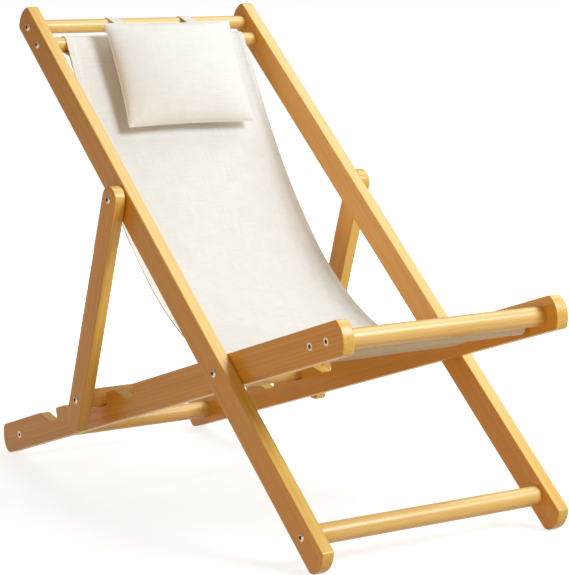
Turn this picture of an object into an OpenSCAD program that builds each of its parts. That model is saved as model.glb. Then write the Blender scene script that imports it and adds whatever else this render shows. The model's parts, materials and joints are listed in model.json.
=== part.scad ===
// Folding wooden sling recliner with a head pillow.
// X runs across the chair, -Y is its front, +Z is up, and the floor is z = 0.
// The back frame leans to the rear, the seat frame crosses it at the main pivot, and a
// prop frame hangs from the back rails with its crossbar in one of the seat rails' notches.

/* [Back frame] */
// Width across the outer faces of the back rails
frame_w = 540; // [480:5:620]
// Thickness of a back rail, across the chair
back_rail_t = 25; // [20:1:30]
// Width of a back rail, seen from the side
back_rail_w = 58; // [50:1:66]
// Main pivot to the rounded top end of a back rail
back_upper = 965; // [940:1:1060]
// Main pivot to the rounded foot end of a back rail
back_lower = 434; // [420:1:460]
// Tilt of the back rails from the floor, in degrees
back_tilt = 41.2; // [39:0.1:45]
// Main pivot to the top dowel, which the pillow hangs on
top_dowel_at = 925; // [912:1:935]
// Main pivot to the dowel in the sling's top sleeve
sling_top_at = 872; // [840:1:878]
// Main pivot to the foot dowel
foot_dowel_at = 366; // [340:1:375]

/* [Seat frame] */
// Thickness of a seat rail, across the chair
seat_rail_t = 25; // [20:1:30]
// Width of a seat rail, seen from the side
seat_rail_w = 62; // [56:1:70]
// Main pivot to the front end of a seat rail
seat_front = 380; // [365:1:400]
// Main pivot to the rear end of a seat rail
seat_rear = 945; // [925:1:1010]
// Main pivot to the front dowel
front_dowel_at = 329; // [320:1:340]
// Main pivot to the dowel in the sling's front sleeve
sling_front_at = 278; // [255:1:283]
// Main pivot to the rear dowel
rear_dowel_at = 868; // [845:1:885]

/* [Notches] */
// Number of notches in each seat rail
notch_count = 4; // [2:1:4]
// Notch that holds the crossbar, counted from the front
notch_in_use = 2; // [2:1:3]
// Main pivot to the front wall of the first notch
notch_first = 348; // [335:1:355]
// Distance from one notch to the next
notch_pitch = 112; // [100:1:118]
// Height of a notch's floor over the rail's centre line
notch_floor = 7; // [4:0.5:10]
// Front wall of a notch to the middle of the crossbar
notch_seat = 29; // [24:0.5:32]
// Slope of a notch's rear ramp against the rail, in degrees
notch_ramp = 30; // [26:1:32]
// Radius of a notch's front corner
notch_corner_r = 8; // [4:0.5:12]

/* [Prop frame] */
// Main pivot to the prop pivot, along the back rail
prop_up = 437; // [425:1:445]
// Thickness of a prop strut, across the chair
strut_t = 24; // [18:1:30]
// Width of a prop strut, seen from the side
strut_w = 52; // [44:1:58]
// Crossbar to the lower end of a strut
strut_foot = 65; // [60:1:85]

/* [Dowels] */
// Diameter of the two upper dowels
upper_dowel_d = 28; // [24:1:30]
// Diameter of the lower dowels and the crossbar
dowel_d = 36; // [32:1:38]
// Radius of the arc at a rail's end
end_arc_r = 45; // [40:1:55]

/* [Hardware] */
// Diameter of a dowel bolt's shank
bolt_d = 6; // [5:0.5:8]
// Diameter of a pivot bolt's shank
pivot_bolt_d = 8; // [6:0.5:10]
// Diameter of a bolt's head
bolt_head_d = 15; // [13:0.5:17]
// Height of a bolt's head
bolt_head_h = 3; // [2:0.25:4]
// Size across the flats of a bolt's hex socket
socket_af = 7; // [4:0.5:8]
// Diameter of a washer
washer_d = 19; // [18:0.5:24]
// Thickness of the washer between two rails
washer_t = 1.5; // [1:0.25:3]
// Diameter of a threaded insert in a dowel's end
insert_d = 12; // [10:0.5:14]
// Length of a threaded insert
insert_l = 22; // [16:1:28]
// Diameter of a pivot bolt's insert in a rail
pivot_insert_d = 13; // [12:0.5:15]
// Length of a pivot bolt's insert, in a hole that stops short of the rail's inner face
pivot_insert_l = 17; // [14:0.5:18]

/* [Sling] */
// Gap between the sling's edge and a seat rail
sling_gap = 6.5; // [4:0.5:20]
// Thickness of the canvas
canvas_t = 2; // [1.5:0.25:3]
// How much the front sleeve hangs loose on its dowel, as part of its radius
sleeve_slack = 2.2; // [0:0.2:3]
// Angle below the horizontal at which the sling leaves its top sleeve
sling_top_angle = 60; // [57:1:64]
// Length of the sling's upper curve handle
sling_top_pull = 140; // [100:5:180]
// Angle below the horizontal at which the sling leaves its front sleeve
sling_front_angle = 34.5; // [32:0.5:36]
// Length of the sling's lower curve handle
sling_front_pull = 640; // [620:5:655]

/* [Pillow] */
// Width of the head pillow
pillow_w = 300; // [250:2:320]
// Height of the head pillow, along its slope
pillow_h = 230; // [220:1:240]
// Thickness of the head pillow at its crown
pillow_t = 60; // [50:1:61]
// Main pivot to the pillow's top seam, along the back rail
pillow_top_at = 870; // [864:1:874]
// Height of the pillow's top seam over the back rail's centre line
pillow_top_lift = 57; // [56:1:64]
// Slope of the pillow against the back rail, in degrees
pillow_slope = 23.5; // [20:0.5:24]
// How far the pillow hangs off the chair's middle
pillow_shift = 10; // [-20:1:20]
// Width of a pillow strap
strap_w = 25; // [20:1:40]
// Pillow's middle to the middle of a strap
strap_at = 86; // [70:1:95]
// Thickness of a pillow strap
strap_t = 1.6; // [1:0.2:2]
// Pillow's top seam to the place on its back that a strap is sewn to
strap_drop = 15; // [10:1:16]

/* [Hidden] */
$fn = 64;
// Clearance of a shank in its hole
hole_gap = 0.2;
// Clearance of a bolt's thread in its insert
thread_gap = 0.1;
// Thickness of the closed end of an insert, and how far short of it a bolt stops
insert_floor = 2;
bolt_short = 4;
// Gap between faces that slide or only rest on each other
rest_gap = 0.3;
// How far the rails' feet are cut to stand flat
foot_cut = 2;
// Length by which a cut runs past the piece that it cuts
past = 1;
// Chamfer at a dowel's ends
dowel_chamfer = 1;

// Share of the pillow's thickness in front of its seam, and how far its sides draw in
pillow_front = 0.6;
pillow_draw = 0.04;
// Thickness of the pillow's seam
seam_t = 2;
// How square the pillow is toward its corners, and how full
pillow_square = 2.4;
pillow_full = 0.6;
// Length of a strap's joined end
strap_throat = 8;

// Angle of a button head's dome, and its points
dome_angle = 60;
dome_steps = 8;
// Height of a hex socket's floor, as a share of the head's height
button_socket = 0.4;
flush_socket = 0.3;

// Points along the sling, and across and along the pillow
sling_steps = 48;
pillow_cols = 22;
pillow_rows = 18;

back_x = frame_w/2;
back_in_x = back_x - back_rail_t;
seat_x = back_in_x - washer_t;
seat_in_x = seat_x - seat_rail_t;
strut_in_x = back_x + washer_t;
strut_x = strut_in_x + strut_t;
sling_w = 2*(seat_in_x - sling_gap);

// The main pivot's height comes from the foot, whose back corner stands on the floor
foot_corner = back_lower - end_arc_r + sqrt(pow(end_arc_r, 2) - pow(back_rail_w/2, 2));
back_dir = [cos(back_tilt), sin(back_tilt)];
back_up = [-back_dir[1], back_dir[0]];
pivot_h = foot_corner*back_dir[1] + back_rail_w/2*back_dir[0] - foot_cut;

// The seat's tilt comes from its rear end, whose lower corner stands on the floor
rear_corner = seat_rear - end_arc_r + sqrt(pow(end_arc_r, 2) - pow(seat_rail_w/2, 2));
rear_reach = sqrt(pow(rear_corner, 2) + pow(seat_rail_w/2, 2));
seat_tilt = asin((pivot_h + foot_cut)/rear_reach) - atan(seat_rail_w/2/rear_corner);
seat_dir = [cos(seat_tilt), -sin(seat_tilt)];
seat_up = [-seat_dir[1], seat_dir[0]];

// The origin is the middle of the chair's depth, between its foremost and rearmost arcs
front_y = -(seat_front - end_arc_r)*seat_dir[0] - end_arc_r;
rear_y = (seat_rear - end_arc_r)*seat_dir[0] + end_arc_r;
pivot = [-(front_y + rear_y)/2, pivot_h];

// Points in the side view, [y, z]: along and over the centre line of a rail
function on_back(along, over = 0) = pivot + along*back_dir + over*back_up;
function on_seat(along, over = 0) = pivot + along*seat_dir + over*seat_up;
function arc(centre, r, from, to, steps) =
    [for (i = [0:steps]) centre + r*[cos(from + (to - from)*i/steps), sin(from + (to - from)*i/steps)]];

// The crossbar's place in the notch, and the prop frame that reaches it
bar_along = notch_first + notch_pitch*(notch_in_use - 1) + notch_seat;
bar_over = notch_floor + dowel_d/2 + rest_gap;
bar_yz = on_seat(bar_along, bar_over);
prop_yz = on_back(prop_up);
prop_l = norm(bar_yz - prop_yz);
prop_angle = atan2(bar_yz[1] - prop_yz[1], bar_yz[0] - prop_yz[0]);

top_yz = on_back(top_dowel_at);
sling_top_yz = on_back(sling_top_at);
foot_yz = on_back(-foot_dowel_at);
front_yz = on_seat(-front_dowel_at);
sling_front_yz = on_seat(-sling_front_at);
rear_yz = on_seat(rear_dowel_at);

// The sleeves are tubes of canvas round their dowels, and the front one rests on its dowel's top
top_sleeve_in = upper_dowel_d/2 + rest_gap;
top_sleeve_out = top_sleeve_in + canvas_t;
front_sleeve_in = dowel_d/2 + rest_gap + sleeve_slack;
front_sleeve_out = front_sleeve_in + canvas_t;
front_sleeve_yz = sling_front_yz - [0, sleeve_slack];

// The sling's middle line is one cubic curve from sleeve to sleeve
sling_top_dir = -[cos(sling_top_angle), sin(sling_top_angle)];
sling_front_dir = [cos(sling_front_angle), -sin(sling_front_angle)];
sling_a = sling_top_yz + (top_sleeve_out - canvas_t/2)*[sling_top_dir[1], -sling_top_dir[0]];
sling_d = front_sleeve_yz + (front_sleeve_out - canvas_t/2)*[-sling_front_dir[1], sling_front_dir[0]];
sling_b = sling_a + sling_top_pull*sling_top_dir;
sling_c = sling_d + sling_front_pull*sling_front_dir;
function sling_point(t) =
    pow(1 - t, 3)*sling_a + 3*pow(1 - t, 2)*t*sling_b + 3*(1 - t)*t*t*sling_c + t*t*t*sling_d;
function sling_slope(t) =
    3*pow(1 - t, 2)*(sling_b - sling_a) + 6*(1 - t)*t*(sling_c - sling_b) + 3*t*t*(sling_d - sling_c);
function left_of(d) = [-d[1], d[0]]/norm(d);
function sling_side(offset) =
    [for (i = [0:sling_steps]) sling_point(i/sling_steps) + offset*left_of(sling_slope(i/sling_steps))];

// The pillow hangs from its top seam, steeper than the back rails
pillow_dir_angle = 180 + back_tilt + pillow_slope;
pillow_top_yz = on_back(pillow_top_at, pillow_top_lift);
pillow_down = [cos(pillow_dir_angle), sin(pillow_dir_angle)];
pillow_out = [pillow_down[1], -pillow_down[0]];

// A strap ends on the pillow's back, clear of it where it is fullest across the strap
strap_u = (strap_at - strap_w/2)/(pillow_w/2);
strap_v = (2*strap_drop/pillow_h - 1)/(1 - pillow_draw*(1 - strap_u*strap_u));
strap_out = pillow_swell(strap_u, strap_v, pillow_t*(1 - pillow_front)) + rest_gap;
strap_end = pillow_top_yz + strap_drop*pillow_down - strap_out*pillow_out;

// Side-view shape, [y, z], pushed out along X from x0 to x1
module plate(x0, x1) {
    translate([x0, 0, 0]) rotate([90, 0, 90]) linear_extrude(x1 - x0) children();
}

// Round bar along X with its middle at a side-view point
module bar(yz, d, x0, x1) {
    translate([x0, yz[0], yz[1]]) rotate([0, 90, 0]) cylinder(d = d, h = x1 - x0);
}

module on_both_sides() {
    children();
    mirror([1, 0, 0]) children();
}

// Straight bar in the side view, from lo to hi along X, with an arc at each end
module bar_outline(lo, hi, w, lo_r, hi_r) {
    intersection() {
        translate([lo, -w/2]) square([hi - lo, w]);
        union() {
            translate([lo + lo_r, 0]) circle(r = lo_r, $fn = 128);
            translate([hi - hi_r, 0]) circle(r = hi_r, $fn = 128);
            translate([lo + lo_r, -w/2]) square([hi - hi_r - lo - lo_r, w]);
        }
    }
}

// Everything over the floor
module over_floor() {
    intersection() {
        children();
        translate([-2*back_upper, 0]) square([4*back_upper, 2*back_upper]);
    }
}

module placed(yz, angle) {
    translate(yz) rotate(angle) children();
}

// One notch, drawn along the rail from the main pivot: wall, floor, seat of the bar, ramp
module notch(front) {
    bar_mid = [front + notch_seat, bar_over];
    seat_r = dowel_d/2 + rest_gap;
    top = seat_rail_w/2 + past;
    foot_of_ramp = bar_mid + seat_r*[sin(notch_ramp), -cos(notch_ramp)];
    ramp_top = foot_of_ramp[0] + (top - foot_of_ramp[1])/tan(notch_ramp);
    corner = [front + notch_corner_r, notch_floor + notch_corner_r];
    polygon(concat(
        [[front, top]],
        arc(corner, notch_corner_r, 180, 270, 8),
        arc(bar_mid, seat_r, 270, 270 + notch_ramp, 6),
        [[ramp_top, top]]
    ));
}

module back_rail() {
    color("burlywood")
    difference() {
        plate(back_in_x, back_x)
        over_floor()
        placed(pivot, back_tilt)
        bar_outline(-back_lower, back_upper, back_rail_w, end_arc_r, end_arc_r);
        for (yz = [top_yz, sling_top_yz, foot_yz])
            bar(yz, bolt_d + 2*hole_gap, back_in_x - past, back_x + past);
        bar(pivot, pivot_bolt_d + 2*hole_gap, back_in_x - past, back_x + past);
        bar(prop_yz, pivot_insert_d, back_x - pivot_insert_l, back_x + past);
    }
}

module seat_rail() {
    color("burlywood")
    difference() {
        plate(seat_in_x, seat_x)
        over_floor()
        placed(pivot, -seat_tilt)
        difference() {
            bar_outline(-seat_front, seat_rear, seat_rail_w, end_arc_r, end_arc_r);
            for (i = [0:notch_count - 1])
                notch(notch_first + i*notch_pitch);
        }
        for (yz = [front_yz, sling_front_yz, rear_yz]) {
            bar(yz, bolt_d + 2*hole_gap, seat_in_x - past, seat_x + past);
            bar(yz, bolt_head_d + 2*hole_gap, seat_x - bolt_head_h, seat_x + past);
        }
        bar(pivot, pivot_insert_d, seat_x - pivot_insert_l, seat_x + past);
    }
}

module prop_strut() {
    color("burlywood")
    difference() {
        plate(strut_in_x, strut_x)
        placed(prop_yz, prop_angle)
        bar_outline(-strut_w/2, prop_l + strut_foot, strut_w, strut_w/2, end_arc_r);
        bar(bar_yz, bolt_d + 2*hole_gap, strut_in_x - past, strut_x + past);
        bar(prop_yz, pivot_bolt_d + 2*hole_gap, strut_in_x - past, strut_x + past);
    }
}

// Dowel between two faces at x = -half and half, bored at each end for its insert
module dowel(yz, d, half) {
    color("wheat")
    difference() {
        translate([0, yz[0], yz[1]])
        rotate([0, 90, 0])
        rotate_extrude()
        polygon([
            [0, -half], [d/2 - dowel_chamfer, -half], [d/2, -half + dowel_chamfer],
            [d/2, half - dowel_chamfer], [d/2 - dowel_chamfer, half], [0, half]
        ]);
        on_both_sides() bar(yz, insert_d, half - insert_l, half + past);
    }
}

// Threaded insert with a closed inner end, flush with a face at face_x
module insert(yz, face_x, d = insert_d, l = insert_l, shank_d = bolt_d) {
    color("darkgoldenrod")
    difference() {
        bar(yz, d, face_x - l, face_x);
        bar(yz, shank_d + 2*thread_gap, face_x - l + insert_floor, face_x + past);
    }
}

module pivot_insert(yz, face_x) { insert(yz, face_x, pivot_insert_d, pivot_insert_l, pivot_bolt_d); }

// Point of a button head's dome, [radius, height]
function dome_point(a) = [bolt_head_d/2*cos(a), bolt_head_h*sin(a)/sin(dome_angle)];

// Button-head bolt: the head stands on the rail's outer face and the shank runs inward
module button_bolt(yz, face_x, tip_x, shank_d) {
    color("silver")
    difference() {
        union() {
            bar(yz, shank_d, tip_x, face_x + bolt_head_h/2);
            translate([face_x, yz[0], yz[1]])
            rotate([0, 90, 0])
            rotate_extrude()
            polygon(concat(
                [[0, 0], [bolt_head_d/2, 0]],
                [for (i = [0:dome_steps]) dome_point(i*dome_angle/dome_steps)],
                [[0, bolt_head_h]]
            ));
        }
        translate([face_x + bolt_head_h*button_socket, yz[0], yz[1]])
        rotate([0, 90, 0]) cylinder(d = socket_af/cos(30), h = bolt_head_h, $fn = 6);
    }
}

// Flat-head bolt in a counterbore, flush with the rail's outer face
module flush_bolt(yz, face_x, tip_x) {
    color("silver")
    difference() {
        union() {
            bar(yz, bolt_d, tip_x, face_x - bolt_head_h/2);
            bar(yz, bolt_head_d, face_x - bolt_head_h, face_x - rest_gap);
        }
        translate([face_x - bolt_head_h*(1 - flush_socket), yz[0], yz[1]])
        rotate([0, 90, 0]) cylinder(d = socket_af/cos(30), h = bolt_head_h, $fn = 6);
    }
}

// Washer between two sliding rails, on the bolt
module washer(yz, x0, x1) {
    color("gainsboro")
    difference() {
        bar(yz, washer_d, x0, x1);
        bar(yz, pivot_bolt_d + 2*hole_gap, x0 - past, x1 + past);
    }
}

module back_rail_left() { mirror([1, 0, 0]) back_rail(); }
module back_rail_right() { back_rail(); }
module top_dowel() { dowel(top_yz, upper_dowel_d, back_in_x); }
module sling_top_dowel() { dowel(sling_top_yz, upper_dowel_d, back_in_x); }
module foot_dowel() { dowel(foot_yz, dowel_d, back_in_x); }

module back_dowel_bolts() {
    on_both_sides()
    for (yz = [top_yz, sling_top_yz, foot_yz])
        button_bolt(yz, back_x, back_in_x - insert_l + bolt_short, bolt_d);
}

module back_dowel_inserts() {
    on_both_sides()
    for (yz = [top_yz, sling_top_yz, foot_yz])
        insert(yz, back_in_x);
}

module pivot_washers() {
    on_both_sides() washer(pivot, seat_x + rest_gap, back_in_x);
}

module prop_pivot_bolts() {
    on_both_sides()
    button_bolt(prop_yz, strut_x + rest_gap, back_x - pivot_insert_l + bolt_short, pivot_bolt_d);
}

module prop_pivot_inserts() {
    on_both_sides() pivot_insert(prop_yz, back_x);
}

module prop_pivot_washers() {
    on_both_sides() washer(prop_yz, back_x, strut_in_x - rest_gap);
}

module seat_rail_left() { mirror([1, 0, 0]) seat_rail(); }
module seat_rail_right() { seat_rail(); }
module front_dowel() { dowel(front_yz, dowel_d, seat_in_x); }
module sling_front_dowel() { dowel(sling_front_yz, dowel_d, seat_in_x); }
module rear_dowel() { dowel(rear_yz, dowel_d, seat_in_x); }

module seat_dowel_bolts() {
    on_both_sides()
    for (yz = [front_yz, sling_front_yz, rear_yz])
        flush_bolt(yz, seat_x, seat_in_x - insert_l + bolt_short);
}

module seat_dowel_inserts() {
    on_both_sides()
    for (yz = [front_yz, sling_front_yz, rear_yz])
        insert(yz, seat_in_x);
}

module pivot_bolts() {
    on_both_sides()
    button_bolt(pivot, back_x + rest_gap, seat_x - pivot_insert_l + bolt_short, pivot_bolt_d);
}

module pivot_inserts() {
    on_both_sides() pivot_insert(pivot, seat_x);
}

module prop_strut_left() { mirror([1, 0, 0]) prop_strut(); }
module prop_strut_right() { prop_strut(); }
module prop_dowel() { dowel(bar_yz, dowel_d, strut_in_x); }

module prop_dowel_bolts() {
    on_both_sides() button_bolt(bar_yz, strut_x, strut_in_x - insert_l + bolt_short, bolt_d);
}

module prop_dowel_inserts() {
    on_both_sides() insert(bar_yz, strut_in_x);
}

// The sling's sheet, its middle line thickened by half the canvas on each side
module sling() {
    upper = sling_side(canvas_t/2);
    lower = sling_side(-canvas_t/2);
    color("ivory")
    plate(-sling_w/2, sling_w/2)
    difference() {
        polygon(concat(upper, [for (i = [sling_steps:-1:0]) lower[i]]));
        translate(sling_top_yz) circle(r = top_sleeve_out + rest_gap);
        translate(front_sleeve_yz) circle(r = front_sleeve_out + rest_gap);
    }
}

module sleeve(yz, r_in, r_out) {
    color("ivory")
    difference() {
        bar(yz, 2*r_out, -sling_w/2, sling_w/2);
        bar(yz, 2*r_in, -sling_w/2 - past, sling_w/2 + past);
    }
}

module sling_top_sleeve() { sleeve(sling_top_yz, top_sleeve_in, top_sleeve_out); }
module sling_front_sleeve() { sleeve(front_sleeve_yz, front_sleeve_in, front_sleeve_out); }

// Pillow surface at u across and v down, each from -1 to 1, on the front (1) or back (-1)
function pillow_edge(t) = max(0, 1 - pow(abs(t), pillow_square));
function pillow_crown(u, v) = pow(pillow_edge(u)*pillow_edge(v), pillow_full);
function pillow_swell(u, v, swell) = seam_t/2 + (swell - seam_t/2)*pillow_crown(u, v);
function pillow_point(u, v, side) =
    let (
        x = pillow_w/2*u*(1 - pillow_draw*(1 - v*v)),
        down = pillow_h/2*(1 + v*(1 - pillow_draw*(1 - u*u))),
        swell = side > 0 ? pillow_t*pillow_front : pillow_t*(1 - pillow_front),
        out = side*pillow_swell(u, v, swell),
        yz = pillow_top_yz + down*pillow_down + out*pillow_out
    )
    [pillow_shift + x, yz[0], yz[1]];

// Both faces of the pillow are the same grid, joined round its seam
module head_pillow() {
    across = pillow_cols + 1;
    face = across*(pillow_rows + 1);
    points = [
        for (side = [1, -1], j = [0:pillow_rows], i = [0:pillow_cols])
            pillow_point(2*i/pillow_cols - 1, 2*j/pillow_rows - 1, side)
    ];
    function cell(i, j) = j*across + i;
    front = [
        for (j = [0:pillow_rows - 1], i = [0:pillow_cols - 1], half = [0, 1])
            half == 0 ? [cell(i, j), cell(i + 1, j), cell(i + 1, j + 1)]
                      : [cell(i, j), cell(i + 1, j + 1), cell(i, j + 1)]
    ];
    back = [for (f = front) [f[0] + face, f[2] + face, f[1] + face]];
    rim = concat(
        [for (i = [0:pillow_cols - 1]) cell(i, 0)],
        [for (j = [0:pillow_rows - 1]) cell(pillow_cols, j)],
        [for (i = [pillow_cols:-1:1]) cell(i, pillow_rows)],
        [for (j = [pillow_rows:-1:1]) cell(0, j)]
    );
    seam = [
        for (k = [0:len(rim) - 1], half = [0, 1])
            let (a = rim[k], b = rim[(k + 1) % len(rim)])
            half == 0 ? [a, a + face, b + face] : [a, b + face, b]
    ];
    color("ivory") polyhedron(points = points, faces = concat(front, back, seam));
}

// Strap: a loop round the top dowel, drawn together where it is sewn to the pillow's back
module strap(x) {
    reach = norm(strap_end - top_yz);
    aim = atan2(strap_end[1] - top_yz[1], strap_end[0] - top_yz[0]);
    loop_in = upper_dowel_d/2 + rest_gap;
    loop_out = loop_in + strap_t;
    throat = reach - strap_throat;
    color("white")
    plate(x - strap_w/2, x + strap_w/2)
    placed(top_yz, aim)
    difference() {
        polygon(concat(
            arc([0, 0], loop_out, acos(loop_out/reach), 360 - acos(loop_out/reach), 40),
            [[reach, -strap_t], [reach, strap_t]]
        ));
        polygon(concat(
            arc([0, 0], loop_in, acos(loop_in/throat), 360 - acos(loop_in/throat), 40),
            [[throat, 0]]
        ));
    }
}

module pillow_strap_left() { strap(pillow_shift - strap_at); }
module pillow_strap_right() { strap(pillow_shift + strap_at); }

back_rail_left();
back_rail_right();
top_dowel();
sling_top_dowel();
foot_dowel();
back_dowel_bolts();
back_dowel_inserts();
pivot_washers();
prop_pivot_bolts();
prop_pivot_inserts();
prop_pivot_washers();
seat_rail_left();
seat_rail_right();
front_dowel();
sling_front_dowel();
rear_dowel();
seat_dowel_bolts();
seat_dowel_inserts();
pivot_bolts();
pivot_inserts();
prop_strut_left();
prop_strut_right();
prop_dowel();
prop_dowel_bolts();
prop_dowel_inserts();
sling();
sling_top_sleeve();
sling_front_sleeve();
head_pillow();
pillow_strap_left();
pillow_strap_right();
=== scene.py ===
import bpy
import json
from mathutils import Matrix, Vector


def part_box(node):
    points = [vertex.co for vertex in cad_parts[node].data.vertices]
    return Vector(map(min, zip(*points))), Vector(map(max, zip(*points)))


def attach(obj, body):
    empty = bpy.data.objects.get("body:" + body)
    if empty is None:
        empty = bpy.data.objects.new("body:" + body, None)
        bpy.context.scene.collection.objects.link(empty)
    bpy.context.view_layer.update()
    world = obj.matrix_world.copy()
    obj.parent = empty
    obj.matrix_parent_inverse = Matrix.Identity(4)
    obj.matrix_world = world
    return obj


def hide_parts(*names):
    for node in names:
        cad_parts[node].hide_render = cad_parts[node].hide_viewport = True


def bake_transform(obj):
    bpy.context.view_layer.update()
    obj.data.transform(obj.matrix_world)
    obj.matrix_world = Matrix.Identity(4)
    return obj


bl_info = {
    "name": "Folding Sling Recliner",
    "version": (1, 0, 0),
    "blender": (4, 5, 0),
    "location": "View3D > Sidebar > Recliner",
    "description": "Dresses a folding recliner with wood, steel, canvas and a padded pillow",
    "category": "Object",
}

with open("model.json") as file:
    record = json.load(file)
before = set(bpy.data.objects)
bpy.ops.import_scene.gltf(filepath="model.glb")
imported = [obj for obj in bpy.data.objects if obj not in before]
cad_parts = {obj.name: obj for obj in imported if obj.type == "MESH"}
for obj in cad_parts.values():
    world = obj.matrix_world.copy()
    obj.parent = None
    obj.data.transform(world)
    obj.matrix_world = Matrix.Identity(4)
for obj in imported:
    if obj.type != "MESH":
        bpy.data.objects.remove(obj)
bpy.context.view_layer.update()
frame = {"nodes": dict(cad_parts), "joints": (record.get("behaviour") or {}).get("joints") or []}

import json
import math
from bisect import bisect_left

import bmesh
import bpy
from mathutils import Matrix, Vector, noise

RAILS = {
    "back_rail_left": "back_frame", "back_rail_right": "back_frame",
    "seat_rail_left": "seat_frame", "seat_rail_right": "seat_frame",
    "prop_strut_left": "prop_frame", "prop_strut_right": "prop_frame",
}
DOWELS = {
    "top_dowel": "back_frame", "sling_top_dowel": "back_frame", "foot_dowel": "back_frame",
    "front_dowel": "seat_frame", "sling_front_dowel": "seat_frame", "rear_dowel": "seat_frame",
    "prop_dowel": "prop_frame",
}
BOLTS = {
    "back_dowel_bolts": "back_frame", "prop_pivot_bolts": "back_frame", "pivot_bolts": "seat_frame",
    "seat_dowel_bolts": "seat_frame", "prop_dowel_bolts": "prop_frame",
}

# Degrees between an edge's faces past which it is sharp
SHARP = 35
# Radius round a bolt's axis in which a rail's edges stay sharp
BOLT_CLEAR = 0.012
# Shift of the grain from one rail or dowel to the next
RAIL_SHIFT = (0.017, 0.9, 0.031)
DOWEL_SHIFT = (0.7, 0.013, 0.021)
# Spacing of the drawn threads, about twice the real one, so that they show in a close view
CANVAS_WEAVE = 0.0016
COVER_WEAVE = 0.0014
# Gap between a cloth and its dowel, and between two layers of cloth
REST_GAP = 0.0003
CLOTH_GAP = 0.0001
# Width of the step at each edge of a hem
HEM_STEP = 0.0006
# Steps that the sling's curve is measured in, and its faces' length
SLING_STEPS = 1200
SLING_FACE = 0.008
# Lines of a sleeve's flap, from its free edge past its seam to the dowel
FLAP = (0.014, 0.007, 0, -0.006, -0.012)
# Lines between the flap and the dowel, as shares of the way
THIRDS = (0.33, 0.67)
# A hem's row of stitches from the hem's inner edge, and a sleeve's two rows from its seam line
HEM_ROW = 0.0025
SLEEVE_ROWS = (-0.004, 0.004)
# Gap between a sleeve's rows and the hems
HEM_CLEAR = 0.003
# Run of sling beside each sleeve; the points at its ends are found but not used
BLEND_RUN = 0.03
# Spacing of the rings along the pillow's welt
WELT_STEP = 0.0045
# Frames in which the pillow fills
FILL_FRAMES = 20
# Sewn end of a strap behind the pillow's seam
STRAP_BEHIND = 0.0098


def linear(code):
    """Turn an sRGB hex code into linear red, green and blue, and an alpha of one."""
    values = [int(code[i:i + 2], 16) / 255 for i in (0, 2, 4)]
    return (*[v / 12.92 if v <= 0.04045 else ((v + 0.055) / 1.055) ** 2.4 for v in values], 1.0)


def length(name, default, description):
    return bpy.props.FloatProperty(name=name, description=description, default=default,
                                   min=0.0, max=2.0, unit="LENGTH", precision=4)


def angle(name, degrees, description):
    return bpy.props.FloatProperty(name=name, description=description,
                                   default=math.radians(degrees), subtype="ANGLE")


def colour(name, code, description):
    return bpy.props.FloatVectorProperty(name=name, description=description, default=linear(code),
                                         size=4, min=0, max=1, subtype="COLOR")


class ReclinerSizes(bpy.types.PropertyGroup):
    """Sizes of the recliner's finish."""
    rail_ease: length("Rail edge", 0.003, "Radius of the rounding along a rail's edges")
    dowel_ease: length("Dowel end", 0.001, "Radius of the rounding at a dowel's ends")
    bolt_ease: length("Bolt edge", 0.0004, "Radius of the rounding on a bolt's head")
    # Painted shade: radius round a bolt's axis inside which its faces are coloured dark
    socket: length("Socket", 0.0045, "Radius that the dark finish of a bolt's socket reaches to")
    canvas: length("Canvas", 0.0018, "Thickness of the sling's canvas")
    hem_width: length("Hem", 0.013, "Width of the folded hem on the sling's sides")
    hem: length("Hem thickness", 0.0026, "Thickness of the folded hem")
    sling_pull_top: length("Upper curve", 0.140, "Handle of the curve at the top sleeve")
    sling_pull_front: length("Lower curve", 0.640, "Handle of the curve at the front sleeve")
    sling_angle_top: angle("Upper slope", 60, "The sling's slope at its top sleeve")
    sling_angle_front: angle("Lower slope", 34.5, "The sling's slope at its front sleeve")
    sleeve_slack: length("Sleeve slack", 0.0022, "How loose the front sleeve hangs on its dowel")
    sleeve_seam: length("Sleeve seam", 0.046, "Sleeve's dowel to its seam, along the sling")
    stitch: length("Stitch", 0.0036, "Length of a stitch")
    stitch_pitch: length("Stitch pitch", 0.0050, "Distance from one stitch to the next")
    thread: length("Thread", 0.0007, "Thickness of the sewing thread")
    welt: length("Welt", 0.0024, "Thickness of the welt round the pillow")
    pillow_width: length("Pillow width", 0.300, "Width of the head pillow")
    pillow_height: length("Pillow height", 0.230, "Height of the head pillow along its slope")
    pillow_front: length("Pillow front", 0.036, "Height of the pillow's crown in front of its seam")
    pillow_back: length("Pillow back", 0.024, "Depth of the pillow's crown behind its seam")
    pillow_along: length("Pillow place", 0.870, "Main pivot to the pillow's top seam, along a rail")
    pillow_over: length("Pillow lift", 0.057, "Height of that seam over the rail's middle")
    pillow_slope: angle("Pillow slope", 23.5, "Slope of the pillow against the back rail")
    strap_drop: length("Strap seam", 0.015, "Pillow's top seam to the sewn end of a strap")
    strap: length("Strap", 0.0016, "Thickness of a pillow strap")


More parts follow.
